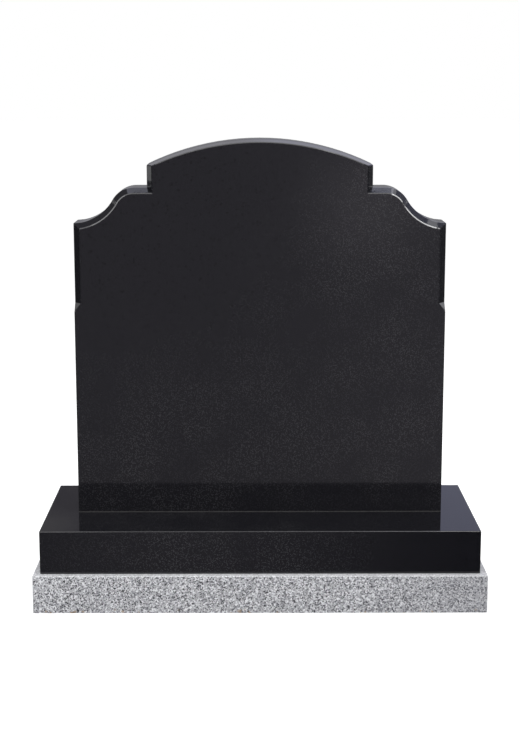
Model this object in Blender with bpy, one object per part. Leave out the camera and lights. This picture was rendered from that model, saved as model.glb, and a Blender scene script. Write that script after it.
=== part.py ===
"""A headstone of three stones: a shaped tablet and its base, both of polished black granite,
standing one on the other on a foundation slab of fine grey granite.

Metres, +Z up. The origin is the centre of the foundation's underside, and the front faces -Y.
"""

import math

import bmesh
import bpy
from mathutils import Vector

# Base: a plain block, 30 by 12 by 3 inches.
BASE_WIDTH = 0.762
BASE_DEPTH = 0.3048
BASE_HEIGHT = 0.0762

# Foundation slab: it shows a narrow margin all round the base.
FOUNDATION_MARGIN = 0.0122
FOUNDATION_HEIGHT = 0.0668

# Tablet: overall sizes, and the ledge of the base left in front of it.
TABLET_WIDTH = 0.651
TABLET_HEIGHT = 0.663
TABLET_THICKNESS = 0.0762
FRONT_LEDGE = 0.1206

# Tablet head: a raised block with a curved top between two ogee shoulders.
ARCH_RISE = 0.0445
NECK_HEIGHT = 0.0385
SHOULDER_WIDTH = 0.129
SHOULDER_FLAT = 0.022
OGEE_DROP = 0.062
OGEE_ROUND_RADIUS = 0.044
OGEE_HOLLOW_RADIUS = 0.0805

# Chamfer worked round the front of the head and down both sides to a sloped stop. It is as deep
# everywhere, but its width on the face differs: the shoulders and the neck, the arch, the sides.
CHAMFER_WIDTH = 0.0095
ARCH_CHAMFER_WIDTH = 0.0048
SIDE_CHAMFER_WIDTH = 0.012
CHAMFER_DEPTH = 0.015
CHAMFER_RUN = 0.140
CHAMFER_STOP = 0.015

# Arris: the small bevel that takes the sharpness off the upper edges of the two plain blocks.
ARRIS = 0.0012

# Clearance at each bed joint.
BED_GAP = 0.0003

# Curves: the largest turn between neighbouring facets, the turn up to which two edges of the
# outline count as one straight run, and the angle up to which facets are shaded as one curve.
FACET_TURN = math.radians(2.5)
STRAIGHT_TURN = 1e-6
SMOOTH_ANGLE = math.radians(15)

# Granites: linear colours, and how rough a polished and a rubbed face are.
BLACK_GRANITE = (0.021, 0.020, 0.024, 1.0)
GREY_GRANITE = (0.39, 0.39, 0.41, 1.0)
POLISHED = 0.12
RUBBED = 0.45


def clear_scene():
    for old in list(bpy.data.objects):
        bpy.data.objects.remove(old, do_unlink=True)


def granite(name, colour, roughness):
    material = bpy.data.materials.new(name)
    material.use_nodes = True
    shader = material.node_tree.nodes["Principled BSDF"]
    shader.inputs["Base Color"].default_value = colour
    shader.inputs["Roughness"].default_value = roughness
    shader.inputs["Metallic"].default_value = 0.0
    return material


def add_object(name, bm, material, location):
    """Close a bmesh into a named object standing at its place."""
    mesh = bpy.data.meshes.new(name)
    bmesh.ops.recalc_face_normals(bm, faces=bm.faces)
    bm.to_mesh(mesh)
    bm.free()
    mesh.materials.append(material)
    stone = bpy.data.objects.new(name, mesh)
    stone.location = location
    bpy.context.scene.collection.objects.link(stone)
    return stone


def block(name, width, depth, height, material, location):
    """A sawn block standing on the middle of its underside.

    Every edge has an arris except the four round the underside.
    """
    bm = bmesh.new()
    bmesh.ops.create_cube(bm, size=1.0)
    bmesh.ops.scale(bm, vec=(width, depth, height), verts=bm.verts)
    bmesh.ops.translate(bm, vec=(0.0, 0.0, height / 2), verts=bm.verts)
    upper_edges = [e for e in bm.edges if max(v.co.z for v in e.verts) > height / 2]
    bmesh.ops.bevel(
        bm, geom=upper_edges, offset=ARRIS, offset_type="OFFSET", segments=1,
        profile=0.5, affect="EDGES", material=-1,
    )
    return add_object(name, bm, material, location)


def arc(centre, radius, start, end):
    """Points along an arc, both ends included; angles from +X, turning towards +Z."""
    steps = max(2, math.ceil(abs(end - start) / FACET_TURN))
    points = []
    for i in range(steps + 1):
        angle = start + (end - start) * i / steps
        points.append(centre + radius * Vector((math.cos(angle), math.sin(angle))))
    return points


def angle_of(vector):
    return math.atan2(vector.y, vector.x)


def ogee(flat_end, corner):
    """The shoulder's S-curve, from the corner at the tablet's side up to the end of the flat.

    The round leaves the flat without a kink, and the hollow meets the round without one: the
    hollow's centre is where two circles cross, one about the round's centre and one about the
    corner. Over the width of the side's chamfer the hollow runs out straight to the corner, so
    that the chamfers of the shoulder and the side meet in one plain mitre.
    """
    round_centre = flat_end - Vector((0.0, OGEE_ROUND_RADIUS))
    reach = OGEE_ROUND_RADIUS + OGEE_HOLLOW_RADIUS
    span = corner - round_centre
    along = (reach ** 2 - OGEE_HOLLOW_RADIUS ** 2 + span.length ** 2) / (2 * span.length)
    across = math.sqrt(reach ** 2 - along ** 2)
    direction = span.normalized()
    upwards = Vector((-direction.y, direction.x))
    hollow_centre = round_centre + along * direction + across * upwards

    meeting = angle_of(hollow_centre - round_centre)
    foot = angle_of(corner - hollow_centre)
    hollow = arc(hollow_centre, OGEE_HOLLOW_RADIUS, foot, meeting - math.pi)
    rise = arc(round_centre, OGEE_ROUND_RADIUS, meeting, math.pi / 2)
    clear_of_mitre = [point for point in hollow if (point - corner).length > SIDE_CHAMFER_WIDTH]
    return [corner] + clear_of_mitre + rise[1:]


def right_outline():
    """The tablet's right half, from its foot up to the crown, as points in its own plane.

    Each point comes with the chamfer width of the edge that leaves it.
    """
    side = TABLET_WIDTH / 2
    block_side = side - SHOULDER_WIDTH
    block_top = TABLET_HEIGHT - ARCH_RISE
    shoulder_top = block_top - NECK_HEIGHT
    shoulder_foot = shoulder_top - OGEE_DROP
    chamfer_end = shoulder_foot - CHAMFER_RUN

    points = [
        (Vector((side, 0.0)), 0.0),
        (Vector((side, chamfer_end - CHAMFER_STOP)), SIDE_CHAMFER_WIDTH),
        (Vector((side, chamfer_end)), SIDE_CHAMFER_WIDTH),
    ]
    flat_end = Vector((block_side + SHOULDER_FLAT, shoulder_top))
    for point in ogee(flat_end, Vector((side, shoulder_foot))):
        points.append((point, CHAMFER_WIDTH))
    points.append((Vector((block_side, shoulder_top)), CHAMFER_WIDTH))

    arch_radius = (block_side ** 2 + ARCH_RISE ** 2) / (2 * ARCH_RISE)
    arch_centre = Vector((0.0, TABLET_HEIGHT - arch_radius))
    springing = Vector((block_side, block_top))
    for point in arc(arch_centre, arch_radius, angle_of(springing - arch_centre), math.pi / 2):
        points.append((point, ARCH_CHAMFER_WIDTH))
    return points


def whole_outline():
    """Both halves, once round anticlockwise from the right foot, with each edge's chamfer."""
    right = right_outline()
    points = [point for point, width in right]
    widths = [width for point, width in right[:-1]]
    points += [Vector((-point.x, point.y)) for point in reversed(points[:-1])]
    widths += list(reversed(widths))
    bottom_edge = 0.0
    widths.append(bottom_edge)
    return points, widths


def inset_corner(before, corner, after, width_before, width_after):
    """Where the chamfer's inner edge turns at a corner of the outline."""
    into = (corner - before).normalized()
    out = (after - corner).normalized()
    turn = into.cross(out)
    normal_before = Vector((-into.y, into.x))
    normal_after = Vector((-out.y, out.x))
    if abs(turn) < STRAIGHT_TURN:
        return corner + normal_after * min(width_before, width_after)
    # Both inner edges are moved lines: solve for their crossing.
    start = corner + normal_before * width_before
    gap = (corner + normal_after * width_after) - start
    return start + into * (gap.cross(out) / turn)


def tablet(material, location):
    """The tablet, its front face at y = 0 and its foot at z = 0 before it is placed."""
    points, widths = whole_outline()
    count = len(points)
    bm = bmesh.new()
    face_ring = []
    rim_ring = []
    back_ring = []
    for i, point in enumerate(points):
        before = points[i - 1]
        after = points[(i + 1) % count]
        inner = inset_corner(before, point, after, widths[i - 1], widths[i])
        face_ring.append(bm.verts.new((inner.x, 0.0, inner.y)))
        back_ring.append(bm.verts.new((point.x, TABLET_THICKNESS, point.y)))
        if (inner - point).length > 0.0:
            rim_ring.append(bm.verts.new((point.x, CHAMFER_DEPTH, point.y)))
        else:
            rim_ring.append(face_ring[-1])
    bm.faces.new(face_ring)
    bm.faces.new(back_ring)
    for i in range(count):
        j = (i + 1) % count
        bm.faces.new((rim_ring[i], rim_ring[j], back_ring[j], back_ring[i]))
        band = [face_ring[i], face_ring[j], rim_ring[j], rim_ring[i]]
        band = list(dict.fromkeys(band))
        if len(band) > 2:
            bm.faces.new(band)
    stone = add_object("tablet", bm, material, location)
    stone.data.shade_smooth()
    stone.data.set_sharp_from_angle(angle=SMOOTH_ANGLE)
    return stone


def build():
    clear_scene()
    black = granite("black_granite", BLACK_GRANITE, POLISHED)
    grey = granite("grey_granite", GREY_GRANITE, RUBBED)
    base_bed = FOUNDATION_HEIGHT + BED_GAP
    tablet_bed = base_bed + BASE_HEIGHT + BED_GAP
    block(
        "foundation", BASE_WIDTH + 2 * FOUNDATION_MARGIN, BASE_DEPTH + 2 * FOUNDATION_MARGIN,
        FOUNDATION_HEIGHT, grey, (0.0, 0.0, 0.0),
    )
    block("base", BASE_WIDTH, BASE_DEPTH, BASE_HEIGHT, black, (0.0, 0.0, base_bed))
    tablet(black, (0.0, FRONT_LEDGE - BASE_DEPTH / 2, tablet_bed))


build()
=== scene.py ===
"""Headstone: polished black granite tablet and base on a grey granite foundation slab."""

import math

import bmesh
import bpy
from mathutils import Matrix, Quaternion, Vector


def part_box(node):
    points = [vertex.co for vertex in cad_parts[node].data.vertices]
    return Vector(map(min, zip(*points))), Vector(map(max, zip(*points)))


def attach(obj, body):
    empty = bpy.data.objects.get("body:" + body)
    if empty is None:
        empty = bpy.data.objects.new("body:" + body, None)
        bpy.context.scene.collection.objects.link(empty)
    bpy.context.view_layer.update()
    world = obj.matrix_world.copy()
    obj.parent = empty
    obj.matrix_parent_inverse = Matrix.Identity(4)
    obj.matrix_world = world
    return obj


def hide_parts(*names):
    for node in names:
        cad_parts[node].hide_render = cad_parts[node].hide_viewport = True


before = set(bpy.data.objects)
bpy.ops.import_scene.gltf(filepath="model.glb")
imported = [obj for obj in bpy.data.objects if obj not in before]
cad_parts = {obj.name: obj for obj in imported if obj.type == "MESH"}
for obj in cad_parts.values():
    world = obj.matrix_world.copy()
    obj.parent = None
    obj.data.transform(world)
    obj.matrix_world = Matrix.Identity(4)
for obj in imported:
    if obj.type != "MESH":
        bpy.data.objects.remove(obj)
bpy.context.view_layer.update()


# Camera. The photograph looks at the stone from the front and a little down, from ten
# centimetres above the tablet's top and two and a half metres in front of the base.
CAMERA_PLACE = (-0.0131, -2.6910, 0.9119)
CAMERA_PITCH = math.radians(10.741)
CAMERA_TURN = math.radians(0.284)
FOCAL_PIXELS = 1532.2
PICTURE_LONG_SIDE = 735
SENSOR = 36.0

camera = bpy.data.objects.new("camera", bpy.data.cameras.new("camera"))
camera.data.sensor_width = SENSOR
camera.data.lens = FOCAL_PIXELS * SENSOR / PICTURE_LONG_SIDE
camera.location = CAMERA_PLACE
camera.rotation_euler = (math.pi / 2 - CAMERA_PITCH, 0.0, -CAMERA_TURN)
bpy.context.scene.collection.objects.link(camera)
bpy.context.scene.camera = camera


# Foundation slab. Light grey fine-grained granite, sawn to size and rubbed smooth but not
# polished, with a small arris round its top and corners. The whole memorial stands on it.
WELD = 1e-6
PLANAR_ANGLE = math.radians(0.3)
SHARP_ANGLE = math.radians(12)
CURVE_TURN = math.radians(6)
ROUNDED_TURN = math.radians(20)
SQUARE = 0.99
FACE_SLOT = 0
ARRIS_SLOT = 1
TOP_SLOT = 2
FEATHER = 0.0004
FEATHER_STEPS = 2


def solid_copy(node_name):
    """A welded copy of a sawn stone, its flat faces whole again."""
    bm = bmesh.new()
    bm.from_mesh(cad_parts[node_name].data)
    bmesh.ops.remove_doubles(bm, verts=bm.verts, dist=WELD)
    bmesh.ops.dissolve_limit(
        bm, angle_limit=PLANAR_ANGLE, verts=bm.verts, edges=bm.edges, delimit={"SHARP"},
    )
    for face in bm.faces:
        squareness = max(abs(part) for part in face.normal)
        face.material_index = FACE_SLOT if squareness > SQUARE else ARRIS_SLOT
    return bm


def rub_edges(bm, width, steps):
    """Take the outer edges off with a rubbing block; the new faces get the arris finish."""
    edges = [e for e in bm.edges if e.is_convex and e.calc_face_angle(0.0) > SHARP_ANGLE]
    made = bmesh.ops.bevel(
        bm, geom=edges, offset=width, offset_type="OFFSET", segments=steps,
        profile=0.5, affect="EDGES", material=-1,
    )
    for face in made["faces"]:
        face.material_index = ARRIS_SLOT


def finished_stone(bm, piece_name, node_name, materials):
    """Turn the worked mesh into the piece that stands for the sawn node."""
    for edge in bm.edges:
        finishes = {face.material_index for face in edge.link_faces}
        limit = ROUNDED_TURN if finishes == {ARRIS_SLOT} else CURVE_TURN
        edge.smooth = len(finishes) == 1 and edge.calc_face_angle(math.pi) < limit
    for face in bm.faces:
        face.smooth = True
    mesh = bpy.data.meshes.new(piece_name)
    bm.to_mesh(mesh)
    bm.free()
    # The sawn node's own shading normals don't fit the worked edges.
    mesh.attributes.remove(mesh.attributes["custom_normal"])
    for material in materials:
        mesh.materials.append(material)
    stone = bpy.data.objects.new(piece_name, mesh)
    bpy.context.scene.collection.objects.link(stone)
    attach(stone, "root")
    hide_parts(node_name)


def new_group(name, inputs, outputs):
    """An empty shader node group with named sockets; returns its tree and its two ends."""
    tree = bpy.data.node_groups.new(name, "ShaderNodeTree")
    for socket_name, kind in inputs:
        tree.interface.new_socket(name=socket_name, in_out="INPUT", socket_type=kind)
    for socket_name, kind in outputs:
        tree.interface.new_socket(name=socket_name, in_out="OUTPUT", socket_type=kind)
    return tree, tree.nodes.new("NodeGroupInput"), tree.nodes.new("NodeGroupOutput")


def add(tree, kind, **settings):
    """A new node with its settings."""
    node = tree.nodes.new(kind)
    for key, value in settings.items():
        setattr(node, key, value)
    return node


def feed(tree, socket, value):
    """Link a socket to another, or give it a plain number or colour."""
    if isinstance(value, (int, float, tuple)):
        socket.default_value = value
    else:
        tree.links.new(value, socket)


def math_node(tree, operation, first, second=0.0):
    """One sum on two values, or on the first alone."""
    node = add(tree, "ShaderNodeMath", operation=operation)
    feed(tree, node.inputs[0], first)
    feed(tree, node.inputs[1], second)
    return node.outputs[0]


def ramp_between(tree, value, low, high):
    """Nought at low, one at high and smooth between; low may be the greater."""
    node = add(tree, "ShaderNodeMapRange", interpolation_type="SMOOTHSTEP")
    feed(tree, node.inputs["Value"], value)
    feed(tree, node.inputs["From Min"], low)
    feed(tree, node.inputs["From Max"], high)
    return node.outputs["Result"]


def blend_colours(tree, factor, first, second):
    """Two colours mixed by a factor."""
    node = add(tree, "ShaderNodeMix", data_type="RGBA")
    factor_socket, first_socket, second_socket = node.inputs[0], node.inputs[6], node.inputs[7]
    feed(tree, factor_socket, factor)
    feed(tree, first_socket, first)
    feed(tree, second_socket, second)
    return node.outputs[2]


WANDER_DETAIL = 2.0
GRAIN_WANDER = 1.4
GRAIN_RIM = 0.80
GRAIN_BODY = 0.55


def make_crystals_group():
    """Mineral grains: wandering cells of one size, of which a share is picked out."""
    tree, start, end = new_group(
        "crystals",
        (
            ("Position", "NodeSocketVector"),
            ("Grain Size", "NodeSocketFloat"),
            ("Share", "NodeSocketFloat"),
        ),
        (("Mask", "NodeSocketFloat"),),
    )
    size = start.outputs["Grain Size"]
    scale = math_node(tree, "DIVIDE", 1.0, size)
    wander = add(tree, "ShaderNodeTexNoise")
    wander.inputs["Detail"].default_value = WANDER_DETAIL
    feed(tree, wander.inputs["Vector"], start.outputs["Position"])
    feed(tree, wander.inputs["Scale"], scale)
    spread = add(tree, "ShaderNodeVectorMath", operation="SCALE")
    feed(tree, spread.inputs[0], wander.outputs["Color"])
    feed(tree, spread.inputs["Scale"], math_node(tree, "MULTIPLY", size, GRAIN_WANDER))
    shifted = add(tree, "ShaderNodeVectorMath", operation="ADD")
    feed(tree, shifted.inputs[0], start.outputs["Position"])
    feed(tree, shifted.inputs[1], spread.outputs[0])
    cells = add(tree, "ShaderNodeTexVoronoi", feature="F1")
    feed(tree, cells.inputs["Vector"], shifted.outputs[0])
    feed(tree, cells.inputs["Scale"], scale)
    chance = add(tree, "ShaderNodeSeparateColor")
    feed(tree, chance.inputs[0], cells.outputs["Color"])
    chosen = math_node(tree, "LESS_THAN", chance.outputs[0], start.outputs["Share"])
    body = ramp_between(tree, cells.outputs["Distance"], GRAIN_RIM, GRAIN_BODY)
    feed(tree, end.inputs["Mask"], math_node(tree, "MULTIPLY", chosen, body))
    return tree


CLOUD_DETAIL = 3.0
CLOUD_ROUGHNESS = 0.55


def make_clouds_group():
    """Broad soft drifts in the stone, from nought to one."""
    tree, start, end = new_group(
        "clouds",
        (
            ("Position", "NodeSocketVector"),
            ("Size", "NodeSocketFloat"),
            ("Low", "NodeSocketFloat"),
            ("High", "NodeSocketFloat"),
        ),
        (("Mask", "NodeSocketFloat"),),
    )
    drift = add(tree, "ShaderNodeTexNoise")
    drift.inputs["Detail"].default_value = CLOUD_DETAIL
    drift.inputs["Roughness"].default_value = CLOUD_ROUGHNESS
    feed(tree, drift.inputs["Vector"], start.outputs["Position"])
    feed(tree, drift.inputs["Scale"], math_node(tree, "DIVIDE", 1.0, start.outputs["Size"]))
    mask = ramp_between(tree, drift.outputs["Fac"], start.outputs["Low"], start.outputs["High"])
    feed(tree, end.inputs["Mask"], mask)
    return tree


crystals_group = make_crystals_group()
clouds_group = make_clouds_group()


def place_group(tree, group, position, **values):
    """Put a group into a material, fed with the piece's own coordinates; returns its mask."""
    node = add(tree, "ShaderNodeGroup", node_tree=group)
    feed(tree, node.inputs["Position"], position)
    for name, value in values.items():
        feed(tree, node.inputs[name.replace("_", " ")], value)
    return node.outputs["Mask"]


def start_material(name, roughness, ior):
    """A material with plain values; returns it, its tree, its shader and the piece's position."""
    material = bpy.data.materials.new(name)
    material.use_nodes = True
    tree = material.node_tree
    shader = tree.nodes["Principled BSDF"]
    shader.inputs["Roughness"].default_value = roughness
    shader.inputs["IOR"].default_value = ior
    position = add(tree, "ShaderNodeTexCoord").outputs["Object"]
    return material, tree, shader, position


def add_bump(tree, shader, height, distance):
    """Unevenness in the surface: distance is how deep it is where height runs from 0 to 1."""
    bump = add(tree, "ShaderNodeBump")
    bump.inputs["Distance"].default_value = distance
    feed(tree, bump.inputs["Height"], height)
    feed(tree, shader.inputs["Normal"], bump.outputs["Normal"])


FELDSPAR_WHITE = (0.79, 0.795, 0.82, 1.0)
FELDSPAR_GREY = (0.46, 0.463, 0.49, 1.0)
QUARTZ_SMOKE = (0.20, 0.202, 0.225, 1.0)
MICA_BLACK = (0.018, 0.018, 0.024, 1.0)
RUST = (0.33, 0.25, 0.17, 1.0)
WHITE_GRAIN = 0.0025
WHITE_SHARE = 0.50
QUARTZ_GRAIN = 0.0021
QUARTZ_SHARE = 0.26
MICA_GRAIN = 0.0019
MICA_SHARE = 0.20
MICA_PIT = 0.00015
RUST_GRAIN = 0.004
RUST_SHARE = 0.06
RUST_HEIGHT = 0.012
SLAB_PALE_END = 0.10
SLAB_DARK_END = 0.45
SLAB_DARKENING = 0.42
SLAB_ROUGHNESS = 0.5
SLAB_IOR = 1.5
# How far each finish of the slab is blended towards white. This is painted light, for the faces,
# the arrises and the top.
FACE_PAINTED_LIGHT = 0.0
ARRIS_PAINTED_HIGHLIGHT = 0.45
TOP_PAINTED_LIGHT = 0.50


def grey_granite(name, painted_light):
    """Close-grained salt-and-pepper granite: white and grey feldspar, quartz and black mica."""
    material, tree, shader, position = start_material(name, SLAB_ROUGHNESS, SLAB_IOR)
    white = place_group(
        tree, crystals_group, position, Grain_Size=WHITE_GRAIN, Share=WHITE_SHARE,
    )
    quartz = place_group(
        tree, crystals_group, position, Grain_Size=QUARTZ_GRAIN, Share=QUARTZ_SHARE,
    )
    mica = place_group(tree, crystals_group, position, Grain_Size=MICA_GRAIN, Share=MICA_SHARE)
    colour = blend_colours(tree, white, FELDSPAR_GREY, FELDSPAR_WHITE)
    colour = blend_colours(tree, quartz, colour, QUARTZ_SMOKE)
    colour = blend_colours(tree, mica, colour, MICA_BLACK)
    parts = add(tree, "ShaderNodeSeparateXYZ")
    feed(tree, parts.inputs[0], position)
    darker = ramp_between(tree, parts.outputs["X"], SLAB_PALE_END, SLAB_DARK_END)
    darker = math_node(tree, "MULTIPLY", darker, SLAB_DARKENING)
    colour = blend_colours(tree, darker, colour, QUARTZ_SMOKE)
    damp = ramp_between(tree, parts.outputs["Z"], RUST_HEIGHT, 0.0)
    stains = place_group(tree, crystals_group, position, Grain_Size=RUST_GRAIN, Share=RUST_SHARE)
    colour = blend_colours(tree, math_node(tree, "MULTIPLY", damp, stains), colour, RUST)
    # Painted light: the colour is blended towards white, lighter where light falls on this
    # finish.
    colour = blend_colours(tree, painted_light, colour, FELDSPAR_WHITE)
    feed(tree, shader.inputs["Base Color"], colour)
    add_bump(tree, shader, math_node(tree, "SUBTRACT", 1.0, mica), MICA_PIT)
    return material


foundation_bm = solid_copy("foundation")
# The upward faces take the copy with painted light: the top is painted paler, as where light from
# above falls.
for sawn_face in foundation_bm.faces:
    if sawn_face.normal.z > SQUARE:
        sawn_face.material_index = TOP_SLOT
# The rubbed arris faces take the copy with a painted highlight: they are painted paler, as where
# light from above catches them.
rub_edges(foundation_bm, FEATHER, FEATHER_STEPS)
finished_stone(
    foundation_bm, "foundation_slab", "foundation",
    (
        grey_granite("grey_granite_rubbed", FACE_PAINTED_LIGHT),
        grey_granite("grey_granite_arris_painted_highlight", ARRIS_PAINTED_HIGHLIGHT),
        grey_granite("grey_granite_top_painted_light", TOP_PAINTED_LIGHT),
    ),
)


# Base. A block of black granite, polished on its top and sides, with a narrow flat arris
# rubbed along every edge that shows. It is bedded on the slab.
BLACK_GROUND = (0.0072, 0.0072, 0.0094, 1.0)
BLACK_CLOUDED = (0.0084, 0.0084, 0.0104, 1.0)
BLACK_FLECK = (0.046, 0.046, 0.050, 1.0)
BLACK_SPECK = (0.001, 0.001, 0.0015, 1.0)
BLACK_IOR = 1.55
POLISHED = 0.015
RUBBED = 0.10
DRIFT_SIZE = 0.11
DRIFT_LOW = 0.38
DRIFT_HIGH = 0.62
FLECK_GRAIN = 0.0012
FLECK_SHARE = 0.16
FLECKS_LEAST = 0.05
FLECKS_AWAY = 0.20
FLECKS_IN_DRIFT = 0.55
SPECK_GRAIN = 0.0026
SPECK_SHARE = 0.04
WAVE_SIZE = 0.025
WAVE_LOW = 0.2
WAVE_HIGH = 0.8
PLAIN_REACH = 0.12
FLECKED_REACH = 0.45
BASE_PLAIN_SPOT = (0.42, -0.15, 0.10)
TABLET_PLAIN_SPOT = (-0.20, -0.03, 0.68)


def black_granite(name, roughness, plain_spot, waviness=0.0):
    """Fine black granite: grey flecks drift through it, but dark specks lie at a plain spot."""
    material, tree, shader, position = start_material(name, roughness, BLACK_IOR)
    drift = place_group(
        tree, clouds_group, position, Size=DRIFT_SIZE, Low=DRIFT_LOW, High=DRIFT_HIGH,
    )
    from_plain = add(tree, "ShaderNodeVectorMath", operation="DISTANCE")
    feed(tree, from_plain.inputs[0], position)
    from_plain.inputs[1].default_value = plain_spot
    thick = ramp_between(tree, from_plain.outputs["Value"], PLAIN_REACH, FLECKED_REACH)
    drift = math_node(tree, "MULTIPLY", drift, thick)
    colour = blend_colours(tree, drift, BLACK_GROUND, BLACK_CLOUDED)
    flecks = place_group(
        tree, crystals_group, position, Grain_Size=FLECK_GRAIN, Share=FLECK_SHARE,
    )
    few = math_node(tree, "MULTIPLY", thick, FLECKS_AWAY)
    few = math_node(tree, "ADD", few, FLECKS_LEAST)
    amount = math_node(tree, "MULTIPLY", drift, FLECKS_IN_DRIFT)
    amount = math_node(tree, "ADD", amount, few)
    colour = blend_colours(tree, math_node(tree, "MULTIPLY", flecks, amount), colour, BLACK_FLECK)
    specks = place_group(
        tree, crystals_group, position, Grain_Size=SPECK_GRAIN, Share=SPECK_SHARE,
    )
    plain = math_node(tree, "SUBTRACT", 1.0, thick)
    colour = blend_colours(tree, math_node(tree, "MULTIPLY", specks, plain), colour, BLACK_SPECK)
    feed(tree, shader.inputs["Base Color"], colour)
    if waviness:
        waves = place_group(
            tree, clouds_group, position, Size=WAVE_SIZE, Low=WAVE_LOW, High=WAVE_HIGH,
        )
        add_bump(tree, shader, waves, waviness)
    return material


rubbed_black = black_granite("black_granite_arris", RUBBED, BASE_PLAIN_SPOT)

base_bm = solid_copy("base")
rub_edges(base_bm, FEATHER, FEATHER_STEPS)
finished_stone(
    base_bm, "base_block", "base",
    (black_granite("black_granite_base", POLISHED, BASE_PLAIN_SPOT), rubbed_black),
)


# Tablet. One slab of the same black granite, polished all over. The mason worked the chamfer
# round its head by hand, so it is not quite true, and rubbed a fine flat arris on every edge.
CHAMFER_SLOT = 2
CHAMFER_POLISH = 0.06
CHAMFER_WAVINESS = 0.00010
SLANTED = 0.1
TABLET_ARRIS = 0.0012
TABLET_ARRIS_STEPS = 1

tablet_bm = solid_copy("tablet")
for sawn_face in tablet_bm.faces:
    facing_front = -sawn_face.normal.y
    if SLANTED < facing_front < SQUARE:
        sawn_face.material_index = CHAMFER_SLOT
    else:
        sawn_face.material_index = FACE_SLOT
rub_edges(tablet_bm, TABLET_ARRIS, TABLET_ARRIS_STEPS)
finished_stone(
    tablet_bm, "tablet_stone", "tablet",
    (
        black_granite("black_granite_tablet", POLISHED, TABLET_PLAIN_SPOT),
        rubbed_black,
        black_granite(
            "black_granite_chamfer", CHAMFER_POLISH, TABLET_PLAIN_SPOT, CHAMFER_WAVINESS,
        ),
    ),
)


# Setting compound. The tablet is bedded on the base in a thin grey compound, which fills the
# joint and the arris round the tablet's foot and is struck off just behind the polished faces.
COMPOUND_GREY = (0.065, 0.063, 0.063, 1.0)
COMPOUND_ROUGHNESS = 0.7
COMPOUND_IOR = 1.45
SAND_GRAIN = 0.002
SAND_SHARE = 0.4
SAND_DARKENING = 0.3
COMPOUND_SETBACK = 0.0002
COMPOUND_CLEAR = 0.00003

tablet_low, tablet_high = (Vector(corner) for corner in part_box("tablet"))
base_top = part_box("base")[1][2]
bed_low = Vector((tablet_low.x, tablet_low.y, base_top))
bed_low += Vector((COMPOUND_SETBACK, COMPOUND_SETBACK, COMPOUND_CLEAR))
bed_high = Vector((tablet_high.x, tablet_high.y, tablet_low.z + TABLET_ARRIS))
bed_high -= Vector((COMPOUND_SETBACK, COMPOUND_SETBACK, COMPOUND_SETBACK))

bed_bm = bmesh.new()
bmesh.ops.create_cube(bed_bm, size=1.0)
bmesh.ops.scale(bed_bm, vec=bed_high - bed_low, verts=bed_bm.verts)
bmesh.ops.translate(bed_bm, vec=(bed_low + bed_high) / 2, verts=bed_bm.verts)
bed_top = [face for face in bed_bm.faces if face.normal.z > SQUARE]
bmesh.ops.inset_region(
    bed_bm, faces=bed_top, thickness=TABLET_ARRIS, depth=-TABLET_ARRIS, use_even_offset=True,
)
bed_mesh = bpy.data.meshes.new("setting_compound")
bed_bm.to_mesh(bed_mesh)
bed_bm.free()
bed_material, bed_tree, bed_shader, bed_position = start_material(
    "setting_compound", COMPOUND_ROUGHNESS, COMPOUND_IOR,
)
bed_sand = place_group(
    bed_tree, crystals_group, bed_position, Grain_Size=SAND_GRAIN, Share=SAND_SHARE,
)
bed_sand = math_node(bed_tree, "MULTIPLY", bed_sand, SAND_DARKENING)
bed_colour = blend_colours(bed_tree, bed_sand, COMPOUND_GREY, BLACK_GROUND)
feed(bed_tree, bed_shader.inputs["Base Color"], bed_colour)
bed_mesh.materials.append(bed_material)
bed = bpy.data.objects.new("setting_compound", bed_mesh)
bpy.context.scene.collection.objects.link(bed)
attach(bed, "root")


# Studio. A wide pale floor that runs into the white backdrop, and nine soft lights: a canopy
# above the front, one high behind, one close over the head, one over the base's right corner,
# two on the left and three on the right.
FLOOR_HALF = 30.0
FLOOR_DROP = 0.0002
FLOOR_PALE = (0.60, 0.60, 0.60, 1.0)
FLOOR_LIFT = 0.72
PAPER_ROUGHNESS = 0.9
PAPER_IOR = 1.4
WHITE = (1.0, 1.0, 1.0)
BLUISH = (0.98, 0.98, 1.06)
BLUE_GREY = (0.92, 0.94, 1.12)

floor_bm = bmesh.new()
bmesh.ops.create_grid(floor_bm, x_segments=1, y_segments=1, size=FLOOR_HALF)
bmesh.ops.translate(floor_bm, vec=(0.0, 0.0, -FLOOR_DROP), verts=floor_bm.verts)
floor_mesh = bpy.data.meshes.new("floor")
floor_bm.to_mesh(floor_mesh)
floor_bm.free()
floor = bpy.data.objects.new("floor", floor_mesh)
bpy.context.scene.collection.objects.link(floor)
floor.visible_glossy = False

floor_material, floor_tree, floor_shader = start_material(
    "floor_paper", PAPER_ROUGHNESS, PAPER_IOR,
)[:3]
floor_shader.inputs["Base Color"].default_value = FLOOR_PALE
floor_shader.inputs["Specular IOR Level"].default_value = 0.0
lift = add(floor_tree, "ShaderNodeEmission")
seen = add(floor_tree, "ShaderNodeLightPath").outputs["Is Camera Ray"]
feed(floor_tree, lift.inputs["Strength"], math_node(floor_tree, "MULTIPLY", seen, FLOOR_LIFT))
lifted = add(floor_tree, "ShaderNodeAddShader")
feed(floor_tree, lifted.inputs[0], floor_shader.outputs[0])
feed(floor_tree, lifted.inputs[1], lift.outputs[0])
feed(floor_tree, floor_tree.nodes["Material Output"].inputs["Surface"], lifted.outputs[0])
floor_mesh.materials.append(floor_material)


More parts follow.
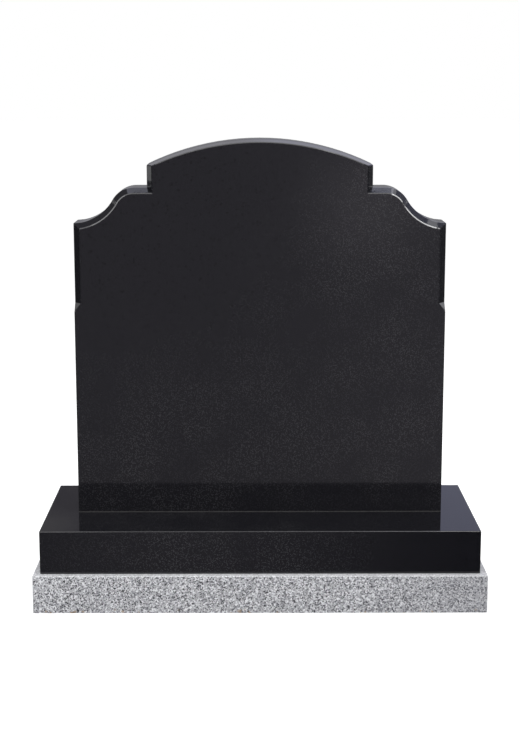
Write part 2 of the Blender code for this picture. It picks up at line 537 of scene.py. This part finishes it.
def softbox(name, place, target, width, height, radiance, tint=WHITE, roll=0.0):
    """A rectangular soft light; radiance is what its face shows in a perfect mirror."""
    light = bpy.data.lights.new(name, "AREA")
    light.shape = "RECTANGLE"
    light.size = width
    light.size_y = height
    light.energy = radiance * math.pi * width * height
    light.color = tint
    lamp = bpy.data.objects.new(name, light)
    lamp.location = place
    aim = Vector(target) - Vector(place)
    turn = aim.to_track_quat("-Z", "Y") @ Quaternion((0.0, 0.0, 1.0), roll)
    lamp.rotation_euler = turn.to_euler()
    lamp.visible_camera = False
    bpy.context.scene.collection.objects.link(lamp)


STONE_MIDDLE = (0.0, 0.0, 0.5)
STONE_HEAD = (0.0, 0.0, 0.75)
HEAD_LIGHT_PLACE = (0.01, 0.186, 1.10)
HEAD_LIGHT_TARGET = (0.01, 0.186, 0.0)
KEY_ROLL = math.radians(-48)

softbox(
    "canopy_light", place=(0.0, -1.3, 3.0), target=STONE_MIDDLE,
    width=3.4, height=1.8, radiance=2.0,
)
softbox(
    "rear_light", place=(0.0, 2.6, 2.8), target=STONE_HEAD,
    width=3.4, height=1.0, radiance=0.95, tint=BLUISH,
)
softbox(
    "head_light", place=HEAD_LIGHT_PLACE, target=HEAD_LIGHT_TARGET,
    width=0.82, height=0.14, radiance=1.05, tint=BLUE_GREY,
)
softbox(
    "left_light", place=(-2.5, 1.1, 1.12), target=STONE_MIDDLE,
    width=1.2, height=1.16, radiance=0.74,
)
softbox(
    "right_light", place=(2.4, 1.15, 1.25), target=STONE_MIDDLE,
    width=0.9, height=0.8, radiance=1.4,
)
softbox(
    "right_high_light", place=(1.35, 1.1, 3.0), target=(0.3, 0.0, 0.7),
    width=1.6, height=0.5, radiance=1.25,
)
softbox(
    "corner_light", place=(0.84, -1.03, 2.9), target=(0.38, -0.15, 0.14),
    width=0.34, height=0.40, radiance=3.0,
)
softbox(
    "left_key", place=(-1.68, -1.72, 2.0), target=STONE_HEAD,
    width=1.6, height=1.2, radiance=4.0,
)
softbox(
    "right_key", place=(1.67, -1.42, 2.19), target=STONE_HEAD,
    width=1.54, height=0.42, radiance=12.5, roll=KEY_ROLL,
)


# Room. This is what the polished faces mirror, by direction. In front: a wall with a lighter
# right side and one lighter patch, over a dark floor with a sheen. Behind: a grey wall, higher
# up darker on the left and bluish on the right, with a lighter corner at its top left.
WALL_FRONT = 0.185
WALL_RIGHT_LIFT = 0.08
WALL_RIGHT_SPAN = (-0.03, 0.12)
WALL_PATCH = (0.0735, -0.08)
WALL_PATCH_SPAN = (0.062, 0.0)
WALL_PATCH_LIFT = 0.20
FLOOR_EDGE = -0.2689
FLOOR_EDGE_BLUR = 0.0003
FLOOR_FAR_EDGE = FLOOR_EDGE - 0.02
FLOOR_NEAR_EDGE = -0.2986
FLOOR_FAR = 0.065
FLOOR_SHEEN = 0.20
FLOOR_SHEEN_MIDDLE = -0.06
FLOOR_SHEEN_SPAN = (0.26, 0.0)
FRONT_TINT = (1.04, 0.98, 1.08)
REAR_LOW = (0.27, 0.27, 0.29, 1.0)
REAR_LEFT = (0.11, 0.105, 0.12, 1.0)
REAR_CORNER = (0.17, 0.165, 0.175, 1.0)
REAR_RIGHT = (0.33, 0.34, 0.46, 1.0)
REAR_HEIGHT_SPAN = (0.12, 0.24)
REAR_RIGHT_SPAN = (-0.10, 0.10)
REAR_CORNER_SPAN = (-0.112, -0.142)
REAR_CORNER_HEIGHT_SPAN = (0.282, 0.299)
SIDE_LEFT = (0.03, 0.03, 0.03, 1.0)
SIDE_RIGHT = (0.05, 0.05, 0.055, 1.0)
SIDE_TO_SIDE_SPAN = (-0.5, 0.5)
BESIDE_SPAN = (0.75, 0.92)
BEHIND_SPAN = (-0.02, 0.02)
LEAST_DEPTH = 0.05
DIFFUSE_LEVEL = 0.60
BACKDROP_WHITE = (1.0, 1.0, 1.0, 1.0)

world = bpy.data.worlds.new("studio")
bpy.context.scene.world = world
world.use_nodes = True
sky = world.node_tree
backdrop = sky.nodes["Background"]
backdrop.inputs["Color"].default_value = BACKDROP_WHITE

# Sideways and slope are a direction's run across and its rise, each for one metre away from
# the stone, before or behind it. A span gives where a change starts and where it is complete.
direction = add(sky, "ShaderNodeTexCoord").outputs["Generated"]
direction_parts = add(sky, "ShaderNodeSeparateXYZ")
feed(sky, direction_parts.inputs[0], direction)
across, away, up = direction_parts.outputs
depth = math_node(sky, "MAXIMUM", math_node(sky, "ABSOLUTE", away), LEAST_DEPTH)
sideways = math_node(sky, "DIVIDE", across, depth)
slope = math_node(sky, "DIVIDE", up, depth)

rightwards = ramp_between(sky, sideways, *WALL_RIGHT_SPAN)
wall_level = math_node(sky, "MULTIPLY", rightwards, WALL_RIGHT_LIFT)
patch_x = math_node(sky, "SUBTRACT", sideways, WALL_PATCH[0])
patch_z = math_node(sky, "SUBTRACT", slope, WALL_PATCH[1])
patch_x_square = math_node(sky, "MULTIPLY", patch_x, patch_x)
patch_z_square = math_node(sky, "MULTIPLY", patch_z, patch_z)
patch_reach = math_node(sky, "SQRT", math_node(sky, "ADD", patch_x_square, patch_z_square))
patch = ramp_between(sky, patch_reach, *WALL_PATCH_SPAN)
patch = math_node(sky, "MULTIPLY", patch, WALL_PATCH_LIFT)
wall_level = math_node(sky, "ADD", wall_level, patch)
wall_level = math_node(sky, "ADD", wall_level, WALL_FRONT)

off_middle = math_node(sky, "SUBTRACT", sideways, FLOOR_SHEEN_MIDDLE)
off_middle = math_node(sky, "ABSOLUTE", off_middle)
sheen = ramp_between(sky, off_middle, *FLOOR_SHEEN_SPAN)
sheen = math_node(sky, "MULTIPLY", sheen, FLOOR_SHEEN)
near_floor = ramp_between(sky, slope, FLOOR_FAR_EDGE, FLOOR_NEAR_EDGE)
sheen = math_node(sky, "MULTIPLY", near_floor, sheen)
far_floor = ramp_between(sky, slope, FLOOR_NEAR_EDGE, FLOOR_FAR_EDGE)
far_floor = math_node(sky, "MULTIPLY", far_floor, FLOOR_FAR)
above_floor = ramp_between(
    sky, slope, FLOOR_EDGE - FLOOR_EDGE_BLUR, FLOOR_EDGE + FLOOR_EDGE_BLUR,
)
front_level = math_node(sky, "MULTIPLY", above_floor, wall_level)
front_level = math_node(sky, "ADD", math_node(sky, "ADD", sheen, far_floor), front_level)
front_colour = add(sky, "ShaderNodeCombineColor")
for channel, tint in zip(front_colour.inputs, FRONT_TINT):
    feed(sky, channel, math_node(sky, "MULTIPLY", front_level, tint))

corner_across = ramp_between(sky, sideways, *REAR_CORNER_SPAN)
corner_up = ramp_between(sky, slope, *REAR_CORNER_HEIGHT_SPAN)
rear_corner = math_node(sky, "MULTIPLY", corner_across, corner_up)
rear_left = blend_colours(sky, rear_corner, REAR_LEFT, REAR_CORNER)
to_the_right = ramp_between(sky, sideways, *REAR_RIGHT_SPAN)
rear_high = blend_colours(sky, to_the_right, rear_left, REAR_RIGHT)
upwards = ramp_between(sky, slope, *REAR_HEIGHT_SPAN)
rear_colour = blend_colours(sky, upwards, REAR_LOW, rear_high)

side_to_side = ramp_between(sky, across, *SIDE_TO_SIDE_SPAN)
side_colour = blend_colours(sky, side_to_side, SIDE_LEFT, SIDE_RIGHT)
behind = ramp_between(sky, away, *BEHIND_SPAN)
room = blend_colours(sky, behind, front_colour.outputs[0], rear_colour)
beside = ramp_between(sky, math_node(sky, "ABSOLUTE", across), *BESIDE_SPAN)
room = blend_colours(sky, beside, room, side_colour)

# The polished faces see the room, rough surfaces a plain level, and the camera a white backdrop.
mirrored = add(sky, "ShaderNodeBackground")
feed(sky, mirrored.inputs["Color"], room)
diffuse_light = add(sky, "ShaderNodeBackground")
diffuse_light.inputs["Strength"].default_value = DIFFUSE_LEVEL
ray = add(sky, "ShaderNodeLightPath")
for_gloss = add(sky, "ShaderNodeMixShader")
feed(sky, for_gloss.inputs[0], ray.outputs["Is Glossy Ray"])
feed(sky, for_gloss.inputs[1], diffuse_light.outputs[0])
feed(sky, for_gloss.inputs[2], mirrored.outputs[0])
for_camera = add(sky, "ShaderNodeMixShader")
feed(sky, for_camera.inputs[0], ray.outputs["Is Camera Ray"])
feed(sky, for_camera.inputs[1], for_gloss.outputs[0])
feed(sky, for_camera.inputs[2], backdrop.outputs[0])
feed(sky, sky.nodes["World Output"].inputs["Surface"], for_camera.outputs[0])

# The picture shows the colours as they are lit, with no film look laid over them.
bpy.context.scene.view_settings.view_transform = "Standard"
bpy.context.scene.view_settings.look = "None"
